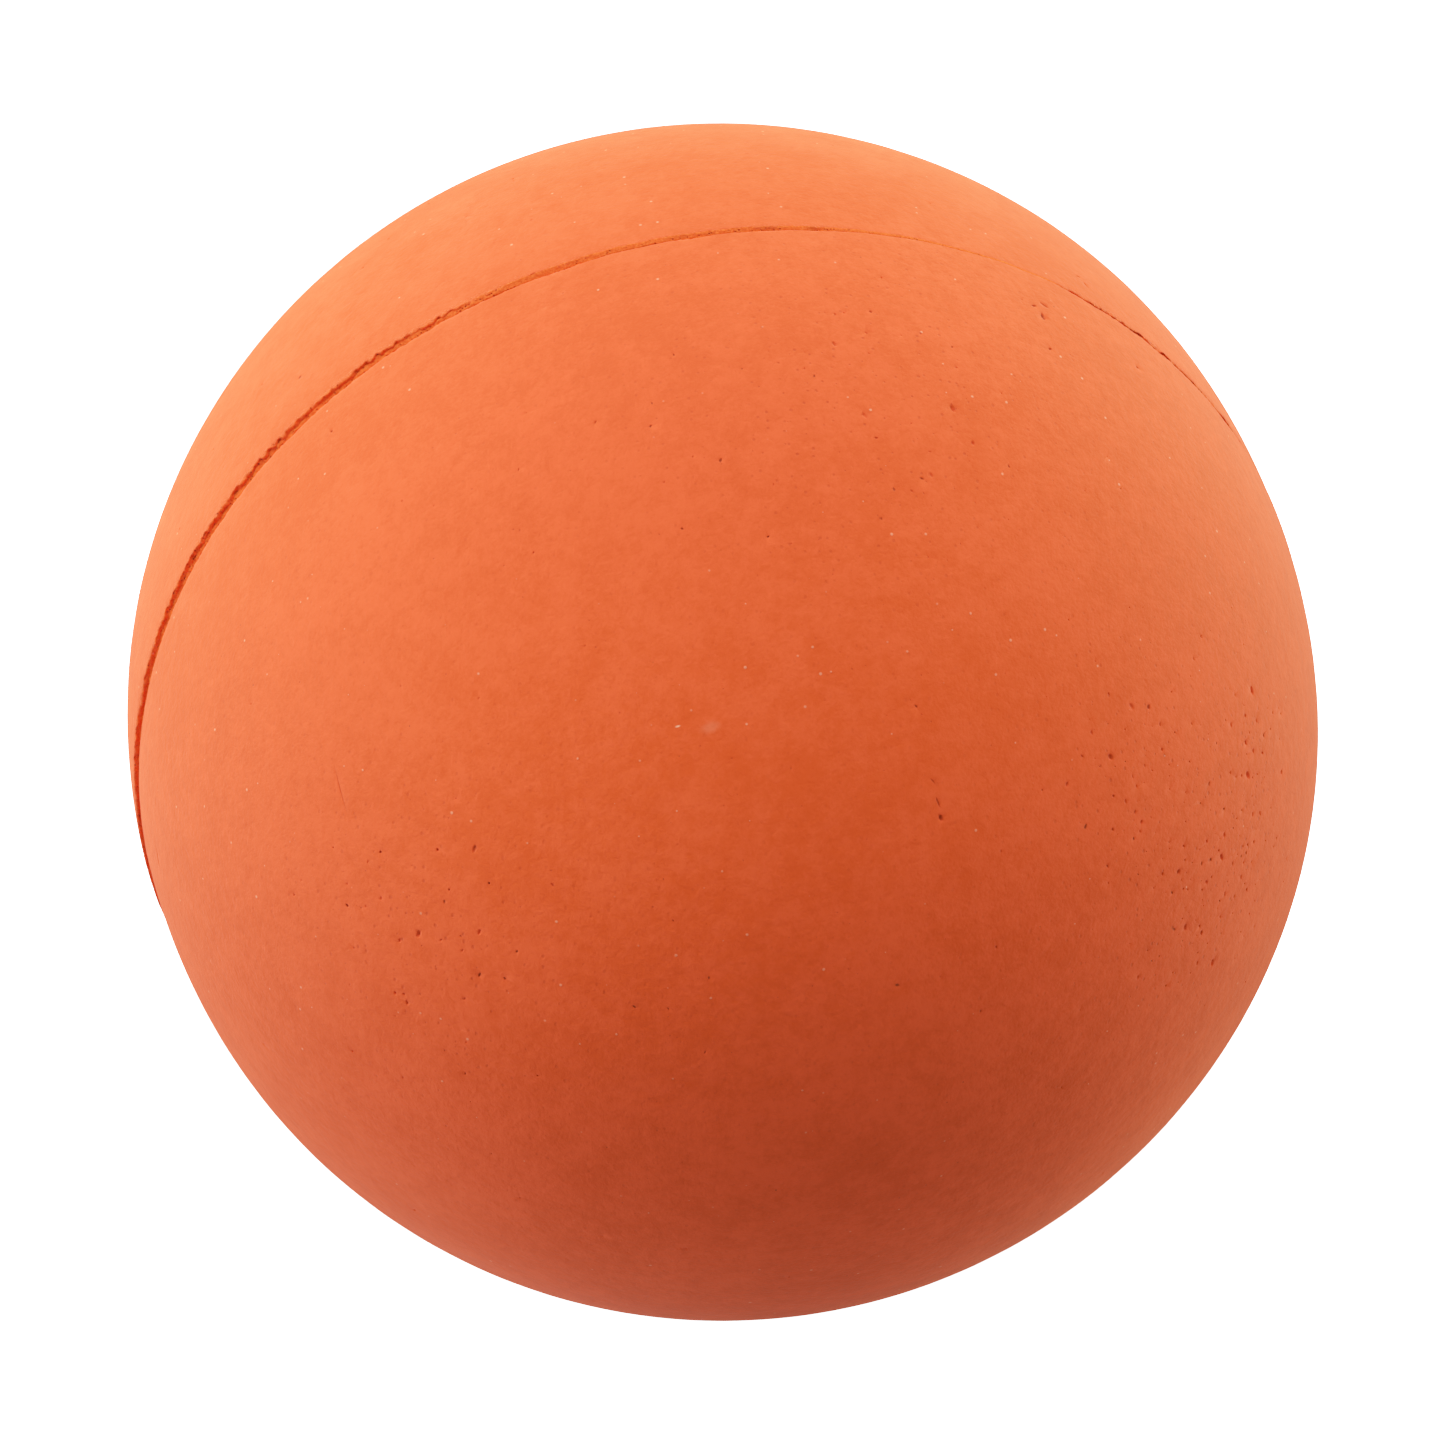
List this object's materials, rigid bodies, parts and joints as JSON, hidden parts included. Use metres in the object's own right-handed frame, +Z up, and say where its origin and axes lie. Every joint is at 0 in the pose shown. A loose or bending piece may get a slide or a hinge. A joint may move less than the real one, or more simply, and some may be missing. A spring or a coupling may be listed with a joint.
{
  "type": "practice golf ball",
  "caption": "Smooth orange practice golf ball: a solid rubber core in a moulded sponge-rubber cover of two half shells, bonded together along a visible parting line.",
  "frame": {"origin": "centre of the ball", "axes": "+Y through the pole of the back half, square to the parting plane, which is the XZ plane; the front half faces -Y; +Z up"},
  "size_m": [0.0422, 0.0428, 0.0422],
  "materials": {
    "sponge_cover": "matte",
    "core_rubber": "matte",
    "bond_rubber": "matte"
  },
  "bodies": {
    "root": {"core": "core_rubber", "cover_front_half": "sponge_cover", "cover_back_half": "sponge_cover", "seam_bond": "bond_rubber"}
  },
  "joints": []
}
